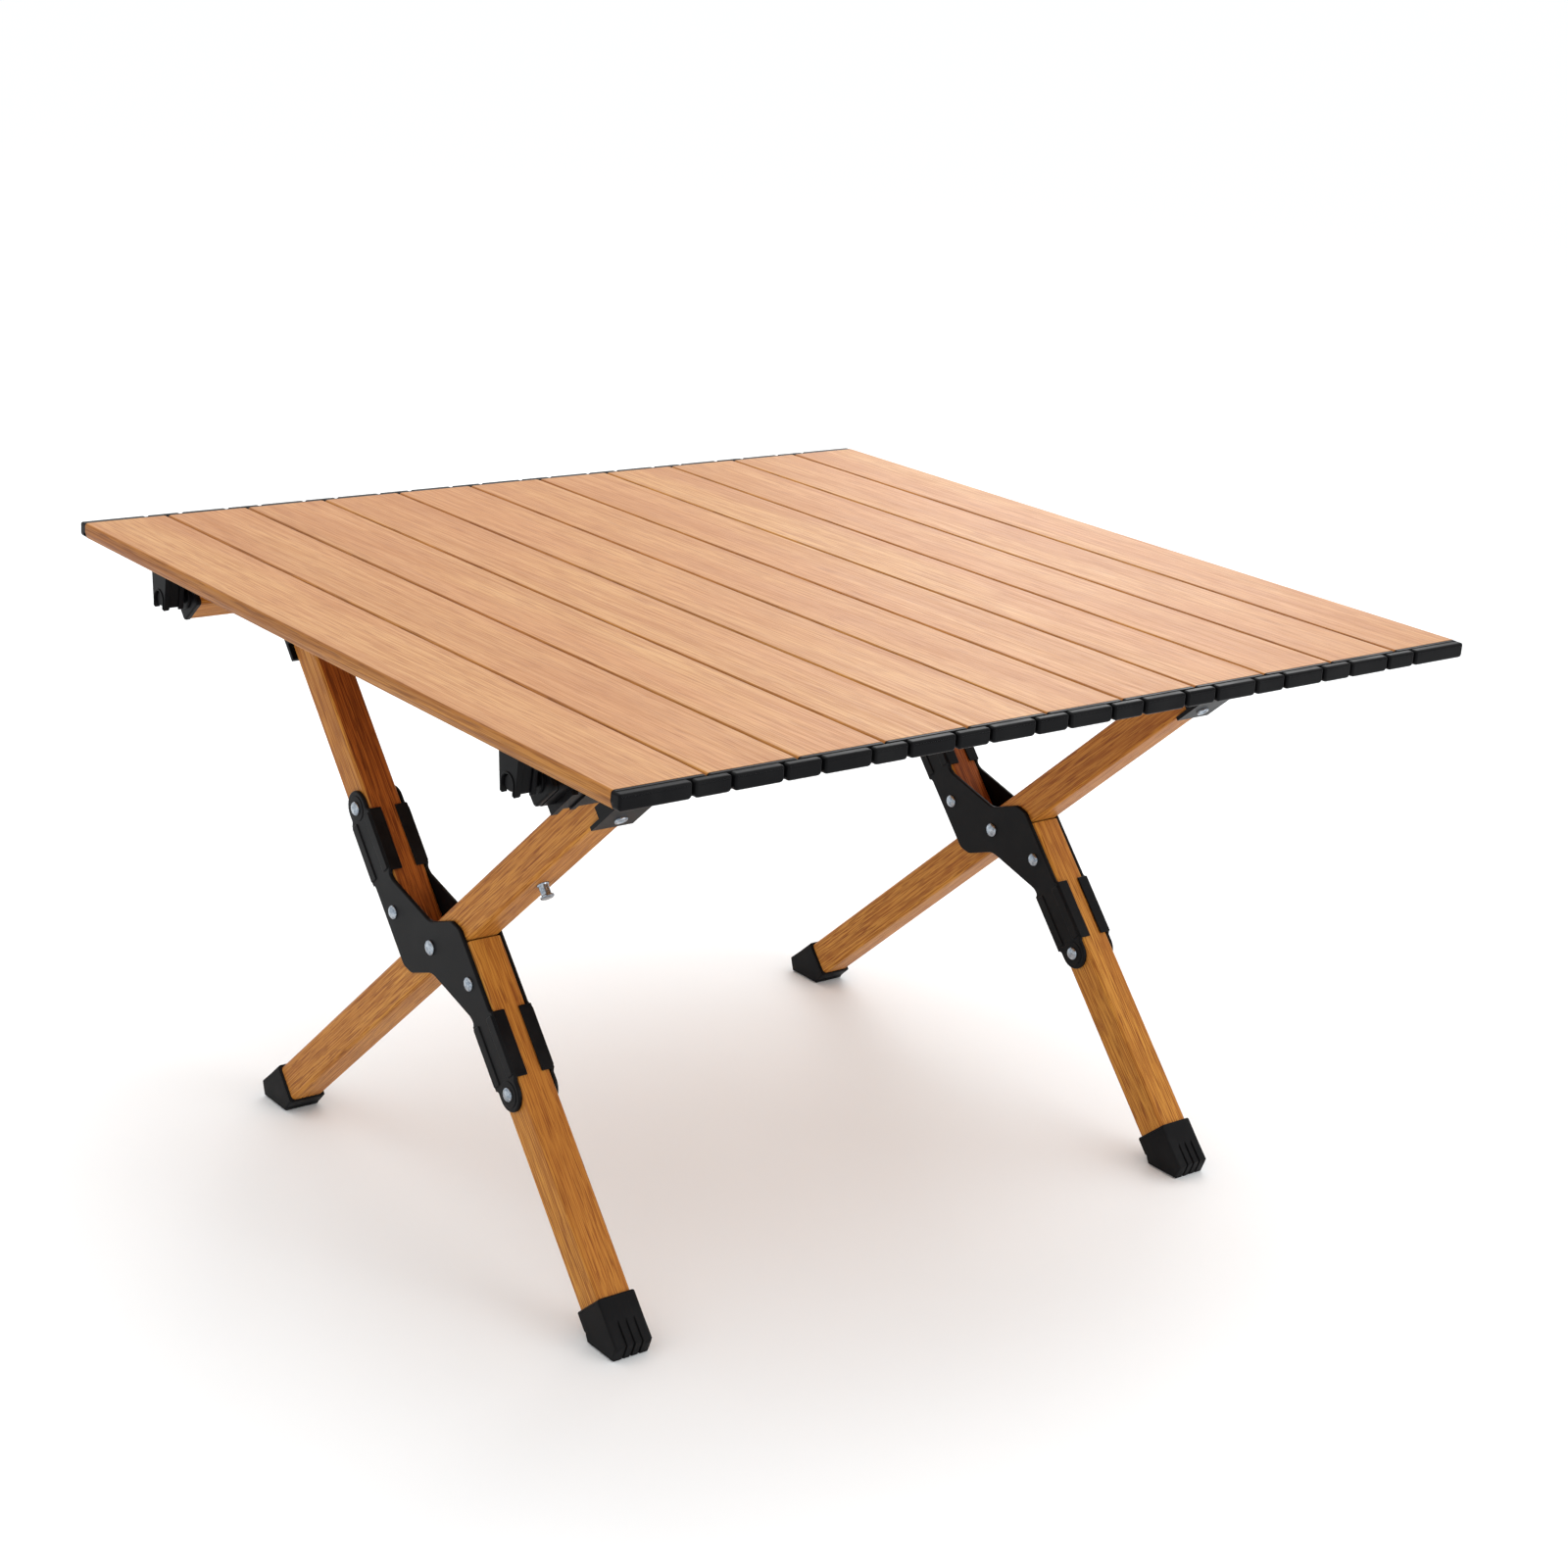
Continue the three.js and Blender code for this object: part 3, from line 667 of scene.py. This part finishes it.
def make_cap(index, which):
    """A flange with its raised block, and the link that reaches over the next slat's flange."""
    middle = slat_middle(index)
    left, right = middle - SLAT_PITCH / 2, middle + SLAT_PITCH / 2
    first, last = index == 0, index == SLAT_COUNT - 1
    place = facing_y(ENDS[which])
    flange_face = CAP_INNER + CAP_FLANGE
    mesh = bmesh.new()
    prism(mesh, slat_outline(middle, CAP_SHRINK), CAP_INNER, flange_face, place, round1=0.5)
    x0 = left + SEAM_GAP / 2 if first else left + BLOCK_FROM_SEAM
    x1 = right - SEAM_GAP / 2 if last else right - BLOCK_FROM_SEAM
    prism(mesh, block_outline(x0, x1), flange_face - SINK, CAP_OUTER, place, round1=CAP_RIM, steps=4)
    if not last:
        prism(mesh, block_outline(right - LINK_HALF, right + LINK_HALF),
              flange_face + LINK_CLEAR, CAP_OUTER, place, round0=0.6, round1=CAP_RIM, steps=4)
        neck = rectangle(right - LINK_HALF + NECK_INSET, right - SEAM_GAP,
                         SLAT_UNDER + NECK_INSET, TABLE_HEIGHT - NECK_INSET)
        prism(mesh, neck, flange_face - SINK, flange_face + NECK_REACH, place)
    number = f"{index + 1:02d}"
    finish_piece(f"end_cap_{which}_{number}", mesh, slat_body(index),
                 satin_black, [f"cap_{which}_{number}"])


# ---- Legs and rails ----
def leg_section():
    half_x, half_q = LEG_WIDTH / 2, LEG_DEPTH / 2
    return fillet(rectangle(-half_x, half_x, -half_q, half_q), LEG_ROUND, steps=5)


def leg_top_end(which):
    return RAILS[which]["s"] - RAIL_SIDE / 2 - 2 * FIT_GAP - BRACKET_WALL


def make_leg(name, node, body, leg, s0, s1, frame_x, leg_q, material):
    mesh = bmesh.new()
    tube(mesh, leg_section(), LEG_WALL, s0, s1, down_the_leg(leg, frame_x, leg_q))
    finish_piece(name, mesh, body, material, [node])


def square(half, corner, steps=4):
    return fillet(rectangle(-half, half, -half, half), corner, steps)


def make_rail(which, body, seed):
    rail = RAILS[which]
    mesh = bmesh.new()
    tube(mesh, square(RAIL_SIDE / 2, RAIL_ROUND, steps=5), LEG_WALL,
         -RAIL_HALF_LENGTH, RAIL_HALF_LENGTH, around_rail(rail))
    finish_piece(f"rail_film_{which}", mesh, body,
                 rail_film(f"film_rail_{which}", seed), [f"rail_{which}"])
    for side_name, side in SIDES.items():
        make_rail_plug(which, body, side_name, side)


def make_rail_plug(which, body, side_name, side):
    """A moulded plug that closes the rail and carries the peg that the clip snaps over."""
    place = around_rail(RAILS[which], side)
    end = RAIL_HALF_LENGTH
    mesh = bmesh.new()
    prism(mesh, square(RAIL_SIDE / 2 + PLUG_OVERHANG, PLUG_ROUND), end + 0.1, end + PLUG_LENGTH,
          place, round0=0.4, round1=1.4)
    if which == "near":
        tube(mesh, square(RAIL_SIDE / 2 + SLEEVE_OVERHANG, SLEEVE_ROUND), SLEEVE_WALL,
             EAR_OUTER_X + FIT_GAP, end, place)
    prism(mesh, square(RAIL_SIDE / 2 - LEG_WALL - FIT_GAP, 2), end - SPIGOT_LENGTH,
          end + PLUG_OVERHANG, place)
    lathe(mesh, PEG_PROFILE, (side * end, ENDS[which] * RAIL_Y, RAIL_Z), (side, 0, 0))
    finish_piece(f"rail_plug_{which}_{side_name}", mesh, body, satin_black)


# ---- Scissor plates and rivets ----
PLATE_EDGE = HALF_OFFSET + STRAP_HALF
PLATE_INNER_EDGE = STRAP_HALF - HALF_OFFSET
# Half of the outline after the strap's round end: (s, q, corner radius). The other half is the same,
# turned half a turn about the crossing.
PLATE_CORNERS = [
    (TAB_END + 2, PLATE_EDGE, 1.0), (TAB_END - 1, PLATE_EDGE + TAB_SWELL, 1.5),
    (TAB_START + 1, PLATE_EDGE + TAB_SWELL, 1.5), (TAB_START - 2, PLATE_EDGE, 3.0),
    (4, PLATE_EDGE - 0.6, 9.0), (-4.5, PLATE_EDGE - 7, 7.0),
    (-15.5, 11.0, 16.0), (-61, -18.6, 10.0),
    (-TAB_START + 2, PLATE_INNER_EDGE, 3.0), (-TAB_START - 1, PLATE_INNER_EDGE + TAB_SWELL, 1.5),
    (-TAB_END + 1, PLATE_INNER_EDGE + TAB_SWELL, 1.5), (-TAB_END - 2, PLATE_INNER_EDGE, 1.0),
]


def plate_outline():
    round_end = arc((RIVET_FAR, HALF_OFFSET), STRAP_HALF, -90, 90, 14)
    half = round_end + [(s, q) for s, q, _ in PLATE_CORNERS]
    radii = [0] * len(round_end) + [radius for _, _, radius in PLATE_CORNERS]
    return fillet(half + [(-s, -q) for s, q in half], radii + radii, steps=4)


def make_plate(side_name, face, frame_x, outward):
    """A scissor plate with its wrapped tabs, raised ribs and rivet bosses."""
    leg_face = frame_x + outward * LEG_WIDTH / 2
    back = leg_face + outward * PLATE_GAP
    front = back + outward * PLATE_THICK
    place = side_on(HALF_LEG)
    mesh = bmesh.new()
    prism(mesh, plate_outline(), back, front, place, round0=0.3, round1=PLATE_RIM, steps=4)
    for end in (1, -1):
        middle = end * HALF_OFFSET
        tab_s = sorted((end * TAB_START, end * TAB_END))
        rib_s = sorted((end * (TAB_START + 2), end * (TAB_END - 2)))
        for edge in (1, -1):
            inner = middle + edge * (LEG_DEPTH / 2 + PLATE_GAP)
            tab_q = sorted((inner, inner + edge * TAB_THICK))
            prism(mesh, fillet(rectangle(*tab_s, *tab_q), 0.6), leg_face - outward * TAB_REACH,
                  front - outward * 0.8, place, round0=0.5)
            rib_q = sorted((middle + edge * RIB_INNER, middle + edge * RIB_OUTER))
            prism(mesh, fillet(rectangle(*rib_s, *rib_q), 1.6), front - outward * 0.6,
                  front + outward * RIB_RISE, place, round1=RIB_RISE)
        boss = arc((end * RIVET_FAR, middle), BOSS_RADIUS, 0, 345, 23)
        prism(mesh, boss, front - outward * 0.5, front + outward * BOSS_RISE, place, round1=0.4, steps=2)
    finish_piece(f"scissor_plate_{side_name}_{face}", mesh, "split_leg_half",
                 plate_black, [f"plate_{side_name}_{face}"])
    make_rivets(side_name, face, front, outward)


def dome(radius, height, skirt=0.5, steps=6):
    """Profile of a domed head, from below its seat to its crown."""
    profile = [(0, -SINK), (radius, -SINK), (radius, skirt)]
    for step in range(1, steps):
        angle = math.pi / 2 * step / steps
        profile.append((radius * math.cos(angle), skirt + (height - skirt) * math.sin(angle)))
    profile.append((0, height))
    return profile


def make_rivets(side_name, face, front, outward):
    mesh = bmesh.new()
    for end in (1, -1):
        for s, lift in ((RIVET_FAR, BOSS_RISE), (RIVET_NEAR, 0)):
            centre = (front + outward * lift, *on_leg(HALF_LEG, end * s, end * HALF_OFFSET))
            lathe(mesh, dome(RIVET_RADIUS, RIVET_HEIGHT), centre, (outward, 0, 0))
    finish_piece(f"rivets_{side_name}_{face}", mesh, "split_leg_half", zinc)


def make_pivot(side_name, frame_x):
    """The pin through the crossing, with a domed head outside each plate."""
    seat = LEG_WIDTH / 2 + PLATE_GAP + PLATE_THICK + HEAD_GAP
    crown = dome(PIN_HEAD_RADIUS, PIN_HEAD_HEIGHT, skirt=0.6)[2:]
    profile = [(radius, -seat - height) for radius, height in reversed(crown)]
    profile += [(PIN_HEAD_RADIUS, -seat), (PIN_RADIUS, -seat), (PIN_RADIUS, seat), (PIN_HEAD_RADIUS, seat)]
    profile += [(radius, seat + height) for radius, height in crown]
    mesh = bmesh.new()
    lathe(mesh, profile, (frame_x, CROSS_Y, CROSS_Z), (1, 0, 0))
    finish_piece(f"pivot_{side_name}", mesh, "long_leg_half", zinc,
                 [f"pivot_pin_{side_name}"])


# ---- Boots ----
def s_at_height(leg, q, z):
    """How far along the leg the line at q comes down to height z."""
    return (z - CROSS_Z - leg["across"][1] * q) / leg["along"][1]


def boot_outline(leg, leg_q, groove):
    """Side outline of a boot; groove sinks the lower part of the toe face."""
    half = LEG_DEPTH / 2 + FOOT_SKIN
    upper, lower = leg_q - half, leg_q + half
    toe_s = s_at_height(leg, upper, FOOT_TOE_HEIGHT)
    toe = on_leg(leg, toe_s, upper)
    heel = on_leg(leg, s_at_height(leg, lower, FOOT_HEEL_HEIGHT), lower)
    top = toe_s + FOOT_LENGTH
    inward = 1 if heel[0] > toe[0] else -1
    groove_low = on_leg(leg, toe_s + groove * 0.5, upper + groove)
    groove_high = on_leg(leg, toe_s + FOOT_LENGTH * GROOVE_TOP, upper + groove)
    groove_end = on_leg(leg, toe_s + FOOT_LENGTH * GROOVE_FADE, upper + groove * 0.1)
    return [
        on_leg(leg, top, upper + 0.5), on_leg(leg, top, lower - 0.5),
        on_leg(leg, top - FOOT_RIM, lower), on_leg(leg, top - FOOT_SKIRT, lower),
        (heel[0], heel[1] + 1.4), (heel[0] - inward * 1.0, heel[1] - 1.2),
        (heel[0] - inward * 3, 0), (toe[0] + inward * (4 + groove), 0),
        (groove_low[0] + inward * 1.2, groove_low[1] - 3.4), (groove_low[0], groove_low[1] + 0.6),
        groove_high, groove_end, on_leg(leg, top - FOOT_RIM, upper),
    ]


def make_boot(which, side_name, body, leg, leg_q, frame_x):
    """A boot lofted across the leg, from one rounded cheek over three grooves to the other."""
    plain = boot_outline(leg, leg_q, 0.0)
    cut = boot_outline(leg, leg_q, GROOVE_DEPTH)
    half = LEG_WIDTH / 2 + FOOT_SKIN
    cheek = [(half - depth, inset(plain, cut_in) if cut_in else plain) for depth, cut_in in CHEEK_STEPS]
    sections = [(-x, outline) for x, outline in cheek]
    for centre in GROOVE_PLACES:
        rim, floor = GROOVE_HALF + GROOVE_FLANK, GROOVE_HALF
        sections += [(centre - rim, plain), (centre - floor, cut)]
        sections += [(centre + floor, cut), (centre + rim, plain)]
    sections += reversed(cheek)
    mesh = bmesh.new()
    rings = [[mesh.verts.new((frame_x + x, y, max(z, 0.0))) for y, z in outline]
             for x, outline in sections]
    for lower, upper in zip(rings, rings[1:]):
        bridge(mesh, lower, upper)
    mesh.faces.new(rings[0])
    mesh.faces.new(rings[-1])
    finish_piece(f"boot_{which}_{side_name}", mesh, body, boot_rubber,
                 [f"foot_{which}_{side_name}"])


# ---- Clips ----
def clip_outline(centre, wall, bottom):
    """An inverted U around the peg, with small pointed lips at its mouth."""
    top = SLAT_UNDER - 0.15
    mouth = CLIP_CHANNEL + 0.2
    outer = CLIP_FOOT_HALF + wall
    lip = outer - CLIP_LIP
    arch = arc((centre, RAIL_Z), CLIP_CHANNEL, 180, 0, CLIP_ARC_STEPS)
    return (
        [(centre + CLIP_TOP_HALF + wall, top), (centre - CLIP_TOP_HALF - wall, top),
         (centre - outer, bottom + 1.2), (centre - lip, bottom), (centre - mouth, bottom)]
        + arch
        + [(centre + mouth, bottom), (centre + lip, bottom), (centre + outer, bottom + 1.2)]
    )


def rim_outline(centre):
    """The thin raised rim around a clip's throat."""
    outer, inner = CLIP_CHANNEL + CLIP_RIM_WIDTH, CLIP_CHANNEL + 0.1
    foot = CLIP_BOTTOM + 1
    over = arc((centre, RAIL_Z), outer, 0, 180, CLIP_ARC_STEPS)
    under = arc((centre, RAIL_Z), inner, 180, 0, CLIP_ARC_STEPS)
    return ([(centre + outer, foot)] + over + [(centre - outer, foot), (centre - inner, foot)]
            + under + [(centre + inner, foot)])


def make_clip(which, side_name, side, body):
    """Two U-shaped ribs with a recessed web between them, and a rim on the outer one."""
    centre = ENDS[which] * RAIL_Y
    place = facing_x(side)
    rib = clip_outline(centre, 0.0, CLIP_BOTTOM)
    web = clip_outline(centre, -CLIP_WEB_INSET, CLIP_BOTTOM + 1.6)
    mesh = bmesh.new()
    prism(mesh, rib, CLIP_OUTER_X - CLIP_RIB - SINK, CLIP_OUTER_X, place, round0=0.4, round1=0.5, steps=2)
    prism(mesh, web, CLIP_INNER_X + CLIP_RIB - SINK, CLIP_OUTER_X - CLIP_RIB, place)
    prism(mesh, rib, CLIP_INNER_X, CLIP_INNER_X + CLIP_RIB, place, round0=0.5, round1=0.4, steps=2)
    prism(mesh, rim_outline(centre), CLIP_OUTER_X - SINK, CLIP_OUTER_X + 0.7, place, round1=0.3, steps=2)
    finish_piece(f"snap_clip_{which}_{side_name}", mesh, body, satin_black,
                 [f"clip_{which}_{side_name}"])


# ---- Brackets, their bolts and the stud ----
def make_ear_cheek(side_name, side):
    """The thin lip that carries the near bracket's ear over the rail's outer faces."""
    face = RAIL_SIDE / 2
    side_face, under = face + LIP_GAP, face + FIT_GAP
    lip = [(LIP_START, under), (side_face, under), (side_face, -LIP_REACH),
           (side_face + LIP_THICK, -LIP_REACH), (side_face + LIP_THICK, under + LIP_SIDE),
           (LIP_START, under + LIP_SIDE)]
    mesh = bmesh.new()
    prism(mesh, fillet(lip, LIP_ROUNDS), LIP_INNER_X, EAR_OUTER_X + 0.1,
          around_rail(RAILS["near"], side))
    finish_piece(f"ear_cheek_{side_name}", mesh, "long_leg_half", satin_black)


def ring_washer(radius, hole, height):
    """Profile of a bolt head with a socket in its middle."""
    return [(0, -0.3), (radius, -0.3), (radius, height * 0.6), (radius - 0.5, height),
            (hole + 0.5, height), (hole, height * 0.5), (hole - 0.6, height * 0.3), (0, height * 0.3)]


def make_bracket_bolts(which, side_name, body, frame_x, leg_q):
    leg = RAILS[which]["leg"]
    s = RAILS[which]["s"] - BOLT_BELOW_RAIL
    reach = LEG_DEPTH / 2 + FIT_GAP + BRACKET_WALL
    mesh = bmesh.new()
    for edge in (1, -1):
        y, z = on_leg(leg, s, leg_q + edge * reach)
        axis = (0, edge * leg["across"][0], edge * leg["across"][1])
        lathe(mesh, ring_washer(BOLT_RADIUS, BOLT_SOCKET, BOLT_HEIGHT), (frame_x, y, z), axis)
    finish_piece(f"bracket_bolts_{which}_{side_name}", mesh, body, zinc)


def make_stud():
    mesh = bmesh.new()
    y, z = on_leg(LONG_LEG, STUD_UP_LEG, LEG_DEPTH / 2)
    lathe(mesh, STUD_PROFILE, (-FRAME_X, y, z), (0, *LONG_LEG["across"]))
    finish_piece("spool_stud_left", mesh, "long_leg_half", zinc, ["stud_left"])


def dress_bracket(which, side_name):
    """The bracket's CAD node stays, in its own plastic and with soft edges."""
    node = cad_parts[f"bracket_{which}_{side_name}"]
    for slot in node.material_slots:
        slot.material = satin_black
    merge = node.modifiers.new("merge_flat", "DECIMATE")
    merge.decimate_type = "DISSOLVE"
    merge.angle_limit = math.radians(FLAT_ANGLE)
    edge = node.modifiers.new("soft_edges", "BEVEL")
    edge.width = EDGE_SOFTNESS * MM
    edge.segments = 3
    edge.limit_method = "ANGLE"
    edge.angle_limit = math.radians(EDGE_ANGLE)
    edge.harden_normals = True


# ---- Putting the table together ----
for index in range(SLAT_COUNT):
    make_slat(index)
    for which in ENDS:
        make_cap(index, which)

make_rail("near", "long_leg_half", seed=41)
make_rail("far", "split_leg_half", seed=42)
for side_name, side in SIDES.items():
    frame_x = side * FRAME_X
    seed = 50 + side
    make_leg(f"leg_film_long_{side_name}", f"leg_long_{side_name}", "long_leg_half", LONG_LEG,
             -LONG_FOOT_END, leg_top_end("near"), frame_x, 0,
             leg_film(f"film_leg_long_{side_name}", -LONG_TILT, seed))
    # The upper half legs' film carries painted shade on the faces that look up.
    make_leg(f"leg_film_upper_{side_name}", f"leg_upper_{side_name}", "split_leg_half", HALF_LEG,
             HALF_INNER_END, leg_top_end("far"), frame_x, HALF_OFFSET,
             upper_leg_film_with_painted_shade(f"film_leg_upper_painted_shade_{side_name}", HALF_TILT, seed + 7))
    make_leg(f"leg_film_lower_{side_name}", f"leg_lower_{side_name}", "split_leg_half", HALF_LEG,
             -HALF_FOOT_END, -HALF_INNER_END, frame_x, -HALF_OFFSET,
             leg_film(f"film_leg_lower_{side_name}", HALF_TILT, seed + 13))
    make_plate(side_name, "outer", frame_x, side)
    make_plate(side_name, "inner", frame_x, -side)
    make_pivot(side_name, frame_x)
    make_boot("near", side_name, "split_leg_half", HALF_LEG, -HALF_OFFSET, frame_x)
    make_boot("far", side_name, "long_leg_half", LONG_LEG, 0, frame_x)
    make_ear_cheek(side_name, side)
    make_bracket_bolts("near", side_name, "long_leg_half", frame_x, 0)
    make_bracket_bolts("far", side_name, "split_leg_half", frame_x, HALF_OFFSET)
    last = 0 if side < 0 else SLAT_COUNT - 1
    for which in ENDS:
        make_clip(which, side_name, side, slat_body(last))
        dress_bracket(which, side_name)
make_stud()


# ---- Floor, light and camera ----
FLOOR_SIZE = 60
FLOOR_DROP = 0.0005
HORIZON, ZENITH = 0.97, 1.10        # the studio's brightness at eye level and overhead
RISE_FROM, RISE_TO = -0.05, 0.75    # the heights of a line of sight between which it rises
# name, power, size, place, target
LIGHTS = [
    ("soft_top", 32, 3.0, (0.9, 0.9, 2.8), (0, 0, 0.3)),
    ("soft_front", 22, 1.8, (0.9, -3.0, 1.3), (0, 0, 0.25)),
    ("soft_back", 14, 1.4, (2.9, 2.5, 1.5), (0, 0, 0.40)),
]
CAMERA_PLACE = (-1.2739, -1.6082, 0.9732)
CAMERA_TURN = (71.58, -3.71, -37.95)
CAMERA_LENS = 64.98
CAMERA_SENSOR = 36


def make_floor():
    bpy.ops.mesh.primitive_plane_add(size=FLOOR_SIZE)
    floor = bpy.context.object
    floor.name = "floor"
    floor.location.z = -FLOOR_DROP
    shader = Shader("pale_floor")
    shader.set(Base_Color=rgba(0.92, 0.94, 0.95), Roughness=0.95)
    floor.data.materials.append(shader.material)


def make_light(name, power, size, place, target):
    data = bpy.data.lights.new(name, "AREA")
    data.energy = power
    data.shape = "DISK"
    data.size = size
    light = bpy.data.objects.new(name, data)
    light.location = place
    light.rotation_euler = (Vector(target) - Vector(place)).to_track_quat("-Z", "Y").to_euler()
    bpy.context.scene.collection.objects.link(light)


def make_world():
    """A bright studio, a little brighter overhead than at eye level."""
    world = bpy.data.worlds.new("studio")
    world.use_nodes = True
    nodes, links = world.node_tree.nodes, world.node_tree.links
    direction = nodes.new("ShaderNodeTexCoord")
    split = nodes.new("ShaderNodeSeparateXYZ")
    rise = nodes.new("ShaderNodeMapRange")
    rise.interpolation_type = "SMOOTHSTEP"
    settings = {"From Min": RISE_FROM, "From Max": RISE_TO, "To Min": HORIZON, "To Max": ZENITH}
    for name, value in settings.items():
        rise.inputs[name].default_value = value
    links.new(direction.outputs["Generated"], split.inputs["Vector"])
    links.new(split.outputs["Z"], rise.inputs["Value"])
    nodes["Background"].inputs["Color"].default_value = rgba(1, 1, 1)
    links.new(rise.outputs["Result"], nodes["Background"].inputs["Strength"])
    bpy.context.scene.world = world


def make_camera():
    data = bpy.data.cameras.new("camera")
    data.sensor_width = CAMERA_SENSOR
    data.lens = CAMERA_LENS
    camera = bpy.data.objects.new("camera", data)
    camera.location = CAMERA_PLACE
    camera.rotation_euler = [math.radians(angle) for angle in CAMERA_TURN]
    bpy.context.scene.collection.objects.link(camera)
    bpy.context.scene.camera = camera


make_floor()
make_world()
for light in LIGHTS:
    make_light(*light)
make_camera()
bpy.context.scene.view_settings.view_transform = "Standard"
